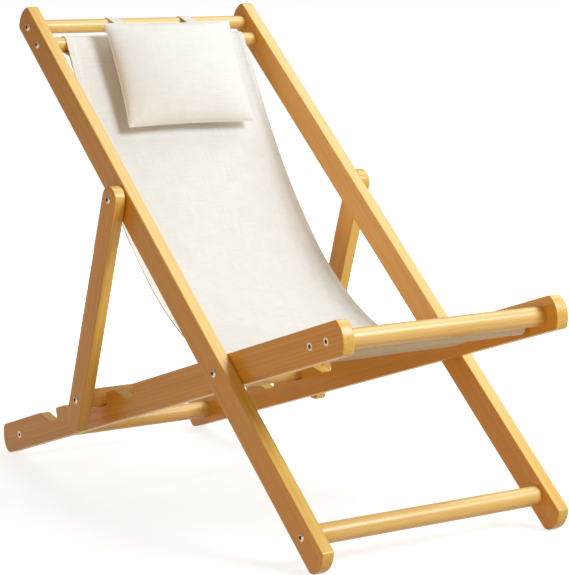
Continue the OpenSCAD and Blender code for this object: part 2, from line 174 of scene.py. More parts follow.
class ReclinerColours(bpy.types.PropertyGroup):
    """Colours of the recliner's finish."""
    wood: colour("Wood", "F5CE6A", "Light wood between the grain")
    grain: colour("Grain", "DFAF4E", "Darker wood in the grain")
    # Painted shade: what the wide faces' wood colour is multiplied by, darker and redder, for their
    # shade
    side_shade: colour("Stain", "FFDEA0", "What the stain leaves of the wood's colour on the wide faces")
    dowel: colour("Dowel", "FAD888", "Paler wood of the turned dowels")
    dowel_grain: colour("Dowel grain", "E6B762", "Grain of the dowels")
    steel: colour("Steel", "F4EEE4", "Zinc-plated steel")
    # Painted shade: the dark brown given to the insides of the bolts' sockets
    socket: colour("Socket", "6B5A4C", "Dark finish inside the bolts' sockets")
    brass: colour("Brass", "C8A85A", "Brass of the threaded inserts")
    canvas: colour("Canvas", "F2F5F3", "Canvas of the sling")
    canvas_shade: colour("Canvas shade", "E9EAE4", "Canvas where its threads run thick")
    pillow: colour("Pillow", "F6F8F6", "Cover and straps of the head pillow")
    pillow_shade: colour("Pillow shade", "EDEFEB", "Cover where its threads run thick")
    tape_shade: colour("Strap shade", "EBEDE7", "Straps where their threads run thick")
    thread: colour("Thread", "EDE9DF", "Sewing thread")
    floor: colour("Floor", "FFFFFF", "Floor and backdrop")


def sizes():
    return bpy.context.scene.recliner_sizes


def colours():
    return bpy.context.scene.recliner_colours


# ---- places that the frame gives ----

def middle(node):
    """Middle of a CAD node's box."""
    low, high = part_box(node)
    return (Vector(low) + Vector(high)) / 2


def reach(node):
    """Half of a CAD node's extent along X, Y and Z."""
    low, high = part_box(node)
    return (Vector(high) - Vector(low)) / 2


def slope(start, end):
    """Angle of the line between two points in the side view, over the floor."""
    return math.atan2(end.z - start.z, end.y - start.y)


def joint_place(name):
    return Vector(next(j["pos_m"] for j in frame["joints"] if j["name"] == name))


MAIN_PIVOT = joint_place("seat_fold")
PROP_PIVOT = joint_place("prop_swing")
BACK_SLOPE = slope(middle("foot_dowel"), middle("top_dowel"))
SLOPES = {
    "back_frame": BACK_SLOPE,
    "seat_frame": slope(middle("front_dowel"), middle("rear_dowel")),
    "prop_frame": slope(PROP_PIVOT, middle("prop_dowel")),
}


# ---- tools for making pieces ----

def deselect():
    if bpy.context.object and bpy.context.object.mode != "OBJECT":
        bpy.ops.object.mode_set(mode="OBJECT")
    bpy.ops.object.select_all(action="DESELECT")


def choose(piece):
    """Make a piece the only one selected."""
    deselect()
    piece.select_set(True)
    bpy.context.view_layer.objects.active = piece


def link(name, mesh):
    piece = bpy.data.objects.new(name, mesh)
    bpy.context.scene.collection.objects.link(piece)
    choose(piece)
    return piece


def new_mesh(name, verts, faces, chart=None):
    """A mesh, with a UV map where chart gives each corner's place on the flat cloth."""
    mesh = bpy.data.meshes.new(name)
    mesh.from_pydata(verts, [], faces)
    if chart:
        layer = mesh.uv_layers.new(name="Cloth")
        for loop in mesh.loops:
            layer.data[loop.index].uv = chart[loop.vertex_index]
    return mesh


def face_outwards(piece):
    """Turn all the faces of a closed mesh outwards."""
    choose(piece)
    bpy.ops.object.mode_set(mode="EDIT")
    bpy.ops.mesh.select_all(action="SELECT")
    bpy.ops.mesh.normals_make_consistent(inside=False)
    bpy.ops.object.mode_set(mode="OBJECT")


def settle(piece, name):
    """Name a finished piece and bring its object to the origin, with its place in its mesh."""
    choose(piece)
    bpy.ops.object.transform_apply(location=True, rotation=True, scale=True)
    piece.name = name
    piece.data.name = name


def apply_modifier(piece, kind, **settings):
    """Add a modifier with its settings to the chosen piece, and apply it."""
    modifier = piece.modifiers.new(kind, kind)
    for name, value in settings.items():
        setattr(modifier, name, value)
    bpy.ops.object.modifier_apply(modifier=kind)


def smooth(piece, degrees=SHARP):
    choose(piece)
    bpy.ops.object.shade_smooth_by_angle(angle=math.radians(degrees))


def smooth_round_flats(piece):
    """Shade the roundings smooth and leave the large faces between them flat."""
    smooth(piece)
    apply_modifier(piece, "WEIGHTED_NORMAL", weight=100, keep_sharp=True)


def finish_with(piece, name, material, body):
    """Settle a piece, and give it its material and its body."""
    settle(piece, name)
    piece.data.materials.clear()
    piece.data.materials.append(material)
    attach(piece, body)


def pick_edges(piece, wanted):
    """Select a mesh's edges in edit mode for which wanted(edge) holds."""
    bpy.ops.mesh.select_all(action="DESELECT")
    shape = bmesh.from_edit_mesh(piece.data)
    for edge in shape.edges:
        if wanted(edge):
            edge.select_set(True)
    bmesh.update_edit_mesh(piece.data)


def eased_copy(node, width, steps, clear_of=(), join_flats=True):
    """Copy a CAD node, merge its corners, and round its sharp edges away from bolt holes."""
    piece = link(node + "_copy", frame["nodes"][node].data.copy())
    bpy.ops.object.mode_set(mode="EDIT")
    bpy.ops.mesh.select_all(action="SELECT")
    bpy.ops.mesh.remove_doubles(threshold=1e-5)
    if join_flats:
        bpy.ops.mesh.dissolve_limited(angle_limit=math.radians(0.5))
    bpy.ops.mesh.select_mode(type="EDGE")

    def to_round(edge):
        if len(edge.link_faces) != 2 or edge.calc_face_angle(0) < math.radians(SHARP):
            return False
        place = (edge.verts[0].co + edge.verts[1].co) / 2
        return all(math.hypot(place.y - c.y, place.z - c.z) > BOLT_CLEAR for c in clear_of)

    pick_edges(piece, to_round)
    bpy.ops.mesh.bevel(offset=width, segments=steps, affect="EDGES", clamp_overlap=True)
    bpy.ops.object.mode_set(mode="OBJECT")
    smooth_round_flats(piece)
    return piece


# ---- materials ----

def add(tree, kind, links=None, **settings):
    """Add a shader node: settings are its properties, and links its inputs' values or sources.

    A source is a socket, or a node, which stands for its first output.
    """
    node = tree.nodes.new("ShaderNode" + kind)
    for name, value in settings.items():
        setattr(node, name, value)
    for key, value in (links or {}).items():
        if isinstance(value, bpy.types.Node):
            value = value.outputs[0]
        if isinstance(value, bpy.types.NodeSocket):
            tree.links.new(value, node.inputs[key])
        else:
            node.inputs[key].default_value = value
    return node


def blank_material(name):
    material = bpy.data.materials.new(name)
    material.use_nodes = True
    material.node_tree.nodes.clear()
    return material, material.node_tree


def tinted(tone, shares):
    """A colour with its red, green and blue each multiplied by its share."""
    return [c * share for c, share in zip(tone[:3], shares)] + [1]


def show_by_ray(tree, output, around, mirrored, seen):
    """Send one shader to the camera's straight rays, one to reflections and one to all else."""
    rays = add(tree, "LightPath")
    straight = add(tree, "Math", {0: rays.outputs["Is Camera Ray"],
                                  1: rays.outputs["Is Transmission Ray"]}, operation="MAXIMUM")
    other = add(tree, "MixShader", {0: rays.outputs["Is Glossy Ray"], 1: around, 2: mirrored})
    add(tree, output, {"Surface": add(tree, "MixShader", {0: straight, 1: other, 2: seen})})


def lacquered_beech(node, turn, place, light, dark, side_shade=(1, 1, 1)):
    """Solid beech, planed and given a honey-coloured satin lacquer.

    To the eye: straight grain along the piece, in soft streaks of light and dark with fine fibres
    in them, and a low sheen that pales the faces that look toward the light. A rail's wide faces
    are painted deeper and redder than its narrow edges, as painted shade for the sides.
    turn is the rotation that lays the grain along the node's piece, and place shifts it from piece
    to piece. The last argument is the share of red, green and blue that this painted shade leaves.
    """
    material, tree = blank_material("lacquered_beech_" + node)
    coords = add(tree, "TexCoord")
    board = add(tree, "Mapping", {"Vector": coords.outputs["Object"], "Location": place,
                                  "Rotation": turn}, vector_type="TEXTURE")
    # Growth streaks, 9 mm wide and half a metre long
    wide = add(tree, "Mapping", {"Vector": board, "Scale": (110, 2.0, 110)})
    streaks = add(tree, "TexNoise", {"Vector": wide, "Scale": 1.0, "Detail": 3.0,
                                     "Roughness": 0.55, "Distortion": 0.3})
    # Growth rings, 6 mm apart, that wander slowly along the board
    slow = add(tree, "Mapping", {"Vector": board, "Scale": (1, 0.06, 1)})
    rings = add(tree, "TexWave", {"Vector": slow, "Scale": 52.0, "Distortion": 7.0, "Detail": 2.0,
                                  "Detail Scale": 0.35, "Detail Roughness": 0.6},
                wave_type="RINGS", rings_direction="Y", wave_profile="SIN")
    # Fibres 1 mm wide, which is coarser than real ones, so that they show
    fine = add(tree, "Mapping", {"Vector": board, "Scale": (900, 14, 900)})
    fibres = add(tree, "TexNoise", {"Vector": fine, "Scale": 1.0, "Detail": 2.0, "Roughness": 0.6})
    grain = add(tree, "Math", {0: streaks, 1: 0.62}, operation="MULTIPLY")
    for pattern, weight in ((rings.outputs["Fac"], 0.12), (fibres, 0.34)):
        grain = add(tree, "Math", {0: pattern, 1: weight, 2: grain}, operation="MULTIPLY_ADD")
    amount = add(tree, "MapRange", {"Value": grain, "From Min": 0.36, "From Max": 0.80})
    narrow = add(tree, "Mix", {0: amount, 6: light, 7: dark}, data_type="RGBA")
    # Painted shade: the same grain, darker and redder, for the wide faces
    side_shaded = add(tree, "Mix", {0: amount, 6: tinted(light, side_shade), 7: tinted(dark, side_shade)},
                  data_type="RGBA")
    # Painted shade: a rail's wide faces, which look sideways, take the darker, redder colour
    normal = add(tree, "SeparateXYZ", {0: coords.outputs["Normal"]})
    sideways = add(tree, "Math", {0: normal}, operation="ABSOLUTE")
    side_shade_mask = add(tree, "MapRange", {"Value": sideways, "From Min": 0.35, "From Max": 0.9},
                    interpolation_type="SMOOTHSTEP")
    tint = add(tree, "Mix", {0: side_shade_mask, 6: narrow.outputs[2], 7: side_shaded.outputs[2]},
               data_type="RGBA")
    sheen = add(tree, "MapRange", {"Value": fibres, "From Min": 0.3, "From Max": 0.7,
                                   "To Min": 0.36, "To Max": 0.46})
    relief = add(tree, "Bump", {"Height": fibres, "Strength": 0.25, "Distance": 0.0002})
    shader = add(tree, "BsdfPrincipled",
                 {"Base Color": tint.outputs[2], "Roughness": sheen, "Normal": relief, "IOR": 1.5,
                  "Coat Weight": 0.5, "Coat Roughness": 0.22, "Coat IOR": 1.5})
    add(tree, "OutputMaterial", {"Surface": shader})
    return material


def tumbled_metal(name, tone):
    """Metal of the small parts: zinc-plated steel or turned brass; also the sockets' painted shade.

    To the eye: a soft shine with faint blotches in it, grey on the bolts and washers and yellow on
    the inserts; the bolts' sockets are dark with painted shade.
    """
    material, tree = blank_material(name)
    coords = add(tree, "TexCoord").outputs["Object"]
    # Blotches 2 mm wide
    blotch = add(tree, "TexNoise", {"Vector": coords, "Scale": 500.0, "Detail": 3.0})
    shine = add(tree, "MapRange", {"Value": blotch, "From Min": 0.3, "From Max": 0.7,
                                   "To Min": 0.24, "To Max": 0.42})
    darker = add(tree, "Mix", {0: blotch, 6: tone, 7: tinted(tone, [0.8] * 3)}, data_type="RGBA")
    relief = add(tree, "Bump", {"Height": blotch, "Strength": 0.15, "Distance": 0.0001})
    shader = add(tree, "BsdfPrincipled", {"Base Color": darker.outputs[2], "Metallic": 1.0,
                                          "Roughness": shine, "Normal": relief})
    add(tree, "OutputMaterial", {"Surface": shader})
    return material


def woven_cotton(name, tone, shade, pitch, sheen):
    """Plain-woven cotton, undyed or bleached.

    To the eye: a matt near-white cloth with a fine square weave, slightly uneven threads and a
    soft bloom at grazing angles. pitch is the spacing of its threads as drawn, and shade its
    colour where they run thick.
    """
    material, tree = blank_material(name)
    cloth = add(tree, "UVMap", uv_map="Cloth")
    split = add(tree, "SeparateXYZ", {0: cloth})
    threads, thick = [], []
    for way in range(2):
        turns = add(tree, "Math", {0: split.outputs[way], 1: 2 * math.pi / pitch},
                    operation="MULTIPLY")
        threads.append(add(tree, "Math", {0: turns}, operation="SINE"))
    weave = add(tree, "Math", {0: threads[0], 1: threads[1]}, operation="MULTIPLY")
    # Slubs: threads that run thick for a few centimetres, both ways
    for scale in ((700, 22, 1), (22, 700, 1)):
        drawn = add(tree, "Mapping", {"Vector": cloth, "Scale": scale})
        thick.append(add(tree, "TexNoise", {"Vector": drawn, "Scale": 1.0, "Detail": 1.0}))
    slubs = add(tree, "Math", {0: thick[0], 1: thick[1]}, operation="ADD")
    height = add(tree, "Math", {0: weave, 1: 0.35, 2: slubs}, operation="MULTIPLY_ADD")
    # Broad unevenness of the cloth's tone, some 60 mm wide
    broad = add(tree, "TexNoise", {"Vector": cloth, "Scale": 16.0, "Detail": 2.0})
    uneven = add(tree, "Math", {0: broad, 1: 0.35, 2: slubs}, operation="MULTIPLY_ADD")
    amount = add(tree, "MapRange", {"Value": uneven, "From Min": 0.95, "From Max": 1.45})
    tint = add(tree, "Mix", {0: amount, 6: tone, 7: shade}, data_type="RGBA")
    relief = add(tree, "Bump", {"Height": height, "Strength": 0.22, "Distance": 0.0003})
    shader = add(tree, "BsdfPrincipled",
                 {"Base Color": tint.outputs[2], "Roughness": 0.88, "Normal": relief, "IOR": 1.45,
                  "Specular IOR Level": 0.25, "Sheen Weight": sheen, "Sheen Roughness": 0.5})
    add(tree, "OutputMaterial", {"Surface": shader})
    return material


def spun_thread(name, tone):
    """Spun polyester sewing thread.

    To the eye: a dull off-white bead with the ribs of its twist across it.
    """
    material, tree = blank_material(name)
    coords = add(tree, "TexCoord").outputs["Object"]
    # Ribs of the twist, 0.6 mm apart
    twist = add(tree, "TexWave", {"Vector": coords, "Scale": 630.0, "Distortion": 1.5},
                bands_direction="DIAGONAL").outputs["Fac"]
    tint = add(tree, "Mix", {0: twist, 6: tone, 7: tinted(tone, [0.86] * 3)}, data_type="RGBA")
    relief = add(tree, "Bump", {"Height": twist, "Strength": 0.4, "Distance": 0.0001})
    shader = add(tree, "BsdfPrincipled", {"Base Color": tint.outputs[2], "Roughness": 0.6,
                                          "Normal": relief, "IOR": 1.5, "Specular IOR Level": 0.4})
    add(tree, "OutputMaterial", {"Surface": shader})
    return material


# ---- cloth that lies along a line in the side view ----

def heading(turn):
    """Direction in the side view at an angle over the floor."""
    return Vector((0, math.cos(turn), math.sin(turn)))


def outward(ahead):
    """Direction out of the front of a cloth that runs ahead in the side view."""
    return Vector((0, ahead.z, -ahead.y))


def runs_along(line):
    """How far each point of a line lies from its start, measured along it."""
    runs = [0.0]
    for p, q in zip(line, line[1:]):
        runs.append(runs[-1] + (q - p).length)
    return runs


def spread_width(half, hem, step):
    """Places across a cloth, with lines at its hems where it has them."""
    inner = half - hem
    count = max(2, round(2 * inner / step))
    body = [-inner + 2 * inner * i / count for i in range(count + 1)]
    side = [half, half - HEM_STEP, half - hem / 2, inner + HEM_STEP] if hem else []
    return [-x for x in side] + body + side[::-1]


def cloth_band(name, line, places, thickness, weights=None, lift=None):
    """Sweep a line in the side view across X into a cloth with its own UV map, in metres.

    line holds Vectors (0, y, z), places the X values, weights the share of the thickness at each
    place, and lift(place, run) how far the cloth is pushed out along its normal. The cloth and
    its length along the line are returned.
    """
    runs = runs_along(line)
    verts = []
    for k, point in enumerate(line):
        ahead = (line[min(k + 1, len(line) - 1)] - line[max(k - 1, 0)]).normalized()
        out = outward(ahead)
        for x in places:
            push = lift(x, runs[k]) if lift else 0.0
            verts.append(Vector((x, point.y, point.z)) + out * push)
    wide = len(places)
    faces = [(k * wide + i, k * wide + i + 1, (k + 1) * wide + i + 1, (k + 1) * wide + i)
             for k in range(len(line) - 1) for i in range(wide - 1)]
    chart = [(x, run) for run in runs for x in places]
    piece = link(name, new_mesh(name, verts, faces, chart))
    if weights:
        group = piece.vertex_groups.new(name="Thickness")
        for column, weight in enumerate(weights):
            group.add([k * wide + column for k in range(len(line))], weight, "REPLACE")
    apply_modifier(piece, "SOLIDIFY", thickness=thickness, offset=0.0,
                   vertex_group="Thickness" if weights else "")
    face_outwards(piece)
    piece.vertex_groups.clear()
    smooth(piece, degrees=50)
    return piece, runs[-1]


def stitches(name, spots):
    """Lay a stitch at each spot: a place on the cloth, the seam's direction and the way out."""
    thick, half = sizes().thread / 2, sizes().stitch / 2
    # Rings along a stitch: its place, radius and height. The ends are thin and dip into the cloth
    rings = ((-half, 0.45 * thick, -0.5 * thick), (-0.6 * half, thick, 0.35 * thick),
             (0.6 * half, thick, 0.35 * thick), (half, 0.45 * thick, -0.5 * thick))
    sides = 6
    verts, faces = [], []
    for place, along, out in spots:
        side = along.cross(out)
        base = len(verts)
        for shift, radius, rise in rings:
            for k in range(sides):
                turn = 2 * math.pi * k / sides
                verts.append(place + shift * along + (rise + radius * math.sin(turn)) * out
                             + radius * math.cos(turn) * side)
        for ring in range(base, base + sides * (len(rings) - 1), sides):
            for k in range(sides):
                a, b = ring + k, ring + (k + 1) % sides
                faces.append((a, b, b + sides, a + sides))
        faces.append([base + k for k in reversed(range(sides))])
        faces.append([len(verts) - sides + k for k in range(sides)])
    piece = link(name, new_mesh(name, verts, faces))
    face_outwards(piece)
    smooth(piece, degrees=60)
    return piece


def welt(name, rim, radius):
    """Sweep a thin round welt along a closed rim of points."""
    count, sides = len(rim), 8
    middle_point = sum(rim, Vector()) / count
    verts, faces = [], []
    for k, point in enumerate(rim):
        ahead = (rim[(k + 1) % count] - rim[k - 1]).normalized()
        out = (point - middle_point).normalized()
        out = (out - out.dot(ahead) * ahead).normalized()
        up = ahead.cross(out)
        for i in range(sides):
            turn = 2 * math.pi * i / sides
            verts.append(point + radius * (math.cos(turn) * out + math.sin(turn) * up))
    for k in range(count):
        for i in range(sides):
            j, ring, following = (i + 1) % sides, k * sides, (k + 1) % count * sides
            faces.append((ring + i, ring + j, following + j, following + i))
    chart = [(i * 2 * math.pi * radius / sides, k * WELT_STEP)
             for k in range(count) for i in range(sides)]
    piece = link(name, new_mesh(name, verts, faces, chart))
    face_outwards(piece)
    smooth(piece, degrees=60)
    return piece


def arc_points(centre, radius, start, end, steps):
    """Points (0, y, z) on an arc in the side view, from angle start to angle end."""
    return [centre + radius * heading(start + (end - start) * i / steps)
            for i in range(steps + 1)]


def bearing(centre, point):
    return math.atan2(point.z - centre.z, point.y - centre.y)


def sling_line():
    """The sling's middle line, from its top sleeve's flap to its front sleeve's.

    With it come the places in it where the sheet between the dowels starts and ends, the
    function at(run), and the sheet's length.
    """
    top, front = middle("sling_top_dowel"), middle("sling_front_dowel")
    top.x = front.x = 0
    top_r = reach("sling_top_dowel").z + REST_GAP + sizes().canvas / 2
    front_r = reach("sling_front_dowel").z + REST_GAP + sizes().sleeve_slack + sizes().canvas / 2
    front.z -= sizes().sleeve_slack
    down = -heading(sizes().sling_angle_top)
    back = heading(-sizes().sling_angle_front)
    a = top + top_r * outward(down)
    d = front - front_r * outward(back)
    b = a + sizes().sling_pull_top * down
    c = d + sizes().sling_pull_front * back
    fine = []
    for i in range(SLING_STEPS + 1):
        t = i / SLING_STEPS
        fine.append((1 - t) ** 3 * a + 3 * (1 - t) ** 2 * t * b
                    + 3 * (1 - t) * t * t * c + t ** 3 * d)
    runs = runs_along(fine)

    def at(run):
        """Point on the sheet at a distance from its top, and the direction that it runs in."""
        k = min(max(1, bisect_left(runs, run)), SLING_STEPS)
        share = (run - runs[k - 1]) / (runs[k] - runs[k - 1])
        return fine[k - 1].lerp(fine[k], share), (fine[k] - fine[k - 1]).normalized()

    whole = runs[-1]
    flap_gap = sizes().hem + CLOTH_GAP

    def behind(run):
        """Point on a flap, which lies behind the sheet."""
        point, ahead = at(run)
        return point - flap_gap * outward(ahead)

    flap = [sizes().sleeve_seam + away for away in FLAP]
    line = [behind(r) for r in flap]
    # Round the top dowel: from the flap to the dowel's rear, over its top, and down its front
    leave = line[-1]
    hold = math.acos(min(1, top_r / (leave - top).length))
    touch = bearing(top, leave) + hold
    end = bearing(top, a)
    while end < touch:
        end += 2 * math.pi
    first = top + top_r * heading(touch)
    line += [leave.lerp(first, share) for share in THIRDS]
    line += arc_points(top, top_r, touch, end, steps=22)[:-1]
    count = round(whole / SLING_FACE)
    sheet_start = len(line)
    line += [at(whole * i / count)[0] for i in range(count + 1)]
    sheet_end = len(line)
    # Round the front dowel: over its front and back under it to the flap
    under = [behind(whole - r) for r in flap[::-1]]
    meet = under[0]
    hold = math.acos(min(1, front_r / (meet - front).length))
    touch = bearing(front, meet) - hold
    start = bearing(front, d)
    while touch < start:
        touch += 2 * math.pi
    line += arc_points(front, front_r, start, touch, steps=24)[1:]
    last = line[-1]
    line += [last.lerp(meet, share) for share in THIRDS]
    line += under
    return line, sheet_start, sheet_end, at, whole


def pillow_axes():
    """Middle of the pillow's top seam in the side view, and its ways down and out of its front."""
    along = heading(BACK_SLOPE)
    hook = MAIN_PIVOT + sizes().pillow_along * along - sizes().pillow_over * outward(along)
    down = heading(BACK_SLOPE + math.pi + sizes().pillow_slope)
    return Vector((0, hook.y, hook.z)), down, outward(down)


# ---- operators ----

class RECLINER_OT_stage(bpy.types.Operator):
    """Set up the floor, the light and the camera"""
    bl_idname = "recliner.stage"
    bl_label = "Stage"

    def execute(self, context):
        scene = context.scene
        scene.view_settings.view_transform = "Standard"
        self.add_camera(scene)
        self.add_floor()
        self.add_lamps()
        self.add_world(scene)
        return {"FINISHED"}

    def add_camera(self, scene):
        """The photograph's camera: its lens, place and turn, over an image of 569 by 575."""
        wide, high, focal = 569, 575, 2195.98
        centre_x, centre_y = 277.03, 183.59
        eye = (-2.3008, -3.5681, 0.9913)
        yaw, pitch, roll = (math.radians(a) for a in (33.36, -5.22, -0.68))
        ahead = Vector((math.sin(yaw) * math.cos(pitch), math.cos(yaw) * math.cos(pitch),
                        math.sin(pitch)))
        right = Vector((math.cos(yaw), -math.sin(yaw), 0))
        up = right.cross(ahead)
        right, up = (math.cos(roll) * right + math.sin(roll) * up,
                     math.cos(roll) * up - math.sin(roll) * right)
        data = bpy.data.cameras.new("photo_camera")
        camera = bpy.data.objects.new("photo_camera", data)
        scene.collection.objects.link(camera)
        camera.matrix_world = Matrix((
            (right.x, up.x, -ahead.x, eye[0]), (right.y, up.y, -ahead.y, eye[1]),
            (right.z, up.z, -ahead.z, eye[2]), (0, 0, 0, 1)))
        data.lens = focal * data.sensor_width / high
        data.shift_x = (wide / 2 - centre_x) / high
        data.shift_y = (centre_y - high / 2) / high
        data.clip_start, data.clip_end = 0.05, 60
        scene.camera = camera

    def add_floor(self):
        """A wide pale floor that keeps the recliner's shadow and shows white round it."""
        deselect()
        side, drop = 24, 0.0005
        bpy.ops.mesh.primitive_plane_add(size=1, location=(0, 0, -drop))
        floor = bpy.context.object
        bpy.ops.object.mode_set(mode="EDIT")
        bpy.ops.transform.resize(value=(side, side, 1))
        bpy.ops.mesh.subdivide(number_cuts=3)
        bpy.ops.object.mode_set(mode="OBJECT")
        settle(floor, "floor")
        material, tree = blank_material("matt_white_floor")
        coords = add(tree, "TexCoord").outputs["Object"]
        away = add(tree, "VectorMath", {0: coords}, operation="LENGTH").outputs["Value"]
        # The floor glows more the farther it lies from the recliner, so that it ends in plain white
        glow = add(tree, "MapRange", {"Value": away, "From Min": 0.75, "From Max": 1.7,
                                      "To Min": 0.80}, interpolation_type="SMOOTHSTEP")
        matt = add(tree, "BsdfDiffuse", {"Color": (0.35, 0.35, 0.35, 1)})
        white = add(tree, "Emission", {"Color": colours().floor, "Strength": glow})
        shown = add(tree, "AddShader", {0: matt, 1: white})
        # What the floor throws on the recliner is warm and dim
        dull = add(tree, "BsdfDiffuse", {"Color": (0.46, 0.35, 0.23, 1)})
        mirrored = add(tree, "Emission", {"Color": (0.9, 0.76, 0.60, 1)})
        show_by_ray(tree, "OutputMaterial", dull, mirrored, shown)
        floor.data.materials.append(material)

    def add_lamps(self):
        """A key lamp in front, one overhead, one behind, and weak warm ones on the left."""
        aim = Vector((0, 0, 0.45))
        lamps = (("key_lamp", (1.9, -3.4, 3.3), 2.4, 162, (0.96, 1.02, 1.09)),
                 ("high_lamp", (2.4, 0.1, 3.9), 2.4, 50, (1.0, 1.0, 0.97)),
                 ("side_lamp", (-1.9, -1.7, 0.35), 1.0, 7.0, (1.0, 0.70, 0.43)),
                 ("edge_lamp", (-2.6, 0.4, 3.4), 1.0, 7, (1.0, 0.86, 0.70)),
                 ("rear_lamp", (-2.2, 3.0, 0.3), 1.6, 0.8, (1.0, 0.80, 0.55)),
                 ("back_lamp", (1.7, 3.6, 1.0), 2.0, 85, (1.0, 1.0, 1.0)))
        for name, place, size, watts, tone in lamps:
            data = bpy.data.lights.new(name, "AREA")
            data.shape = "DISK"
            data.size, data.energy, data.color = size, watts, tone
            lamp = bpy.data.objects.new(name, data)
            bpy.context.scene.collection.objects.link(lamp)
            lamp.location = place
            lamp.rotation_euler = (aim - lamp.location).to_track_quat("-Z", "Y").to_euler()
            # The lamp behind would glare on the notches' rear faces
            lamp.visible_glossy = name != "back_lamp"

    def add_world(self, scene):
        """A warm, even light from all round, pale in reflections and white to the camera."""
        world = bpy.data.worlds.new("studio")
        world.use_nodes = True
        tree = world.node_tree
        tree.nodes.clear()
        fill = add(tree, "Background", {"Color": (1.0, 0.78, 0.56, 1), "Strength": 0.25})
        mirrored = add(tree, "Background", {"Color": (1.0, 0.95, 0.88, 1), "Strength": 0.27})
        white = add(tree, "Background", {"Color": colours().floor})
        show_by_ray(tree, "OutputWorld", fill, mirrored, white)
        scene.world = world


class RECLINER_OT_rails(bpy.types.Operator):
    """Make the six rails and struts with rounded edges and lacquered wood"""
    bl_idname = "recliner.rails"
    bl_label = "Rails and struts"

    def execute(self, context):
        holes = [middle(dowel) for dowel in DOWELS] + [MAIN_PIVOT, PROP_PIVOT]
        for number, (node, body) in enumerate(RAILS.items()):
            # A strut keeps the triangles of its flats, because the rounding tears them once joined
            piece = eased_copy(node, sizes().rail_ease, steps=3, clear_of=holes,
                               join_flats=body != "prop_frame")
            # The wide faces of the wood take a darker, redder painted shade
            wood = lacquered_beech(node, (SLOPES[body], 0, 0),
                                   [shift * number for shift in RAIL_SHIFT],
                                   colours().wood, colours().grain, colours().side_shade)
            finish_with(piece, node + "_wood", wood, body)
            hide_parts(node)
        return {"FINISHED"}


class RECLINER_OT_dowels(bpy.types.Operator):
    """Turn the seven dowels with rounded ends"""
    bl_idname = "recliner.dowels"
    bl_label = "Dowels"

    def execute(self, context):
        for number, (node, body) in enumerate(DOWELS.items()):
            half = reach(node)
            deselect()
            bpy.ops.mesh.primitive_cylinder_add(vertices=72, radius=half.z, depth=2 * half.x,
                                                location=middle(node), rotation=(0, math.pi / 2, 0))
            piece = bpy.context.object
            bpy.ops.object.transform_apply(location=True, rotation=True, scale=True)
            bpy.ops.object.mode_set(mode="EDIT")
            bpy.ops.mesh.select_mode(type="EDGE")
            pick_edges(piece, lambda edge: edge.calc_face_angle(0) > math.radians(SHARP))
            bpy.ops.mesh.bevel(offset=sizes().dowel_ease, segments=2, affect="EDGES")
            bpy.ops.object.mode_set(mode="OBJECT")
            smooth_round_flats(piece)
            wood = lacquered_beech(node, (0, 0, -math.pi / 2),
                                   [shift * number for shift in DOWEL_SHIFT],
                                   colours().dowel, colours().dowel_grain)
            finish_with(piece, node + "_wood", wood, body)
            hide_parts(node)
        return {"FINISHED"}


class RECLINER_OT_hardware(bpy.types.Operator):
    """Make the bolts with rounded heads, and finish the washers and inserts"""
    bl_idname = "recliner.hardware"
    bl_label = "Bolts, washers and inserts"

    def execute(self, context):
        steel = tumbled_metal("zinc_plated_steel", colours().steel)
        # Painted shade for the insides of the bolts' sockets
        dark = tumbled_metal("painted_socket_shade", colours().socket)
        brass = tumbled_metal("turned_brass", colours().brass)
        for node, body in BOLTS.items():
            piece = eased_copy(node, sizes().bolt_ease, steps=2)
            finish_with(piece, node + "_steel", steel, body)
            # The second slot holds the painted socket shade
            piece.data.materials.append(dark)
            self.paint_socket_shade(piece)
            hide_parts(node)
        for node in ("pivot_washers", "prop_pivot_washers"):
            self.paint(node, steel)
        for node in ("back_dowel_inserts", "seat_dowel_inserts", "prop_dowel_inserts",
                     "pivot_inserts", "prop_pivot_inserts"):
            self.paint(node, brass)
        return {"FINISHED"}

    def paint_socket_shade(self, piece):
        """Give the faces in each bolt's hexagon socket a dark colour: painted shade in the recess.
        """
        shape = bmesh.new()
        shape.from_mesh(piece.data)
        left = set(shape.faces)
        while left:
            # One bolt: the faces that hang together
            bolt, waiting = [], [left.pop()]
            while waiting:
                bolt.append(waiting.pop())
                near = {f for edge in bolt[-1].edges for f in edge.link_faces} & left
                left -= near
                waiting += near
            ys = [v.co.y for f in bolt for v in f.verts]
            zs = [v.co.z for f in bolt for v in f.verts]
            axis_y, axis_z = (min(ys) + max(ys)) / 2, (min(zs) + max(zs)) / 2
            for face in bolt:
                if all(math.hypot(v.co.y - axis_y, v.co.z - axis_z) < sizes().socket
                       for v in face.verts):
                    face.material_index = 1
        shape.to_mesh(piece.data)
        shape.free()

    def paint(self, node, material):
        cad = frame["nodes"][node]
        if not cad.material_slots:
            raise RuntimeError(node + " has no material slot")
        for slot in cad.material_slots:
            slot.material = material


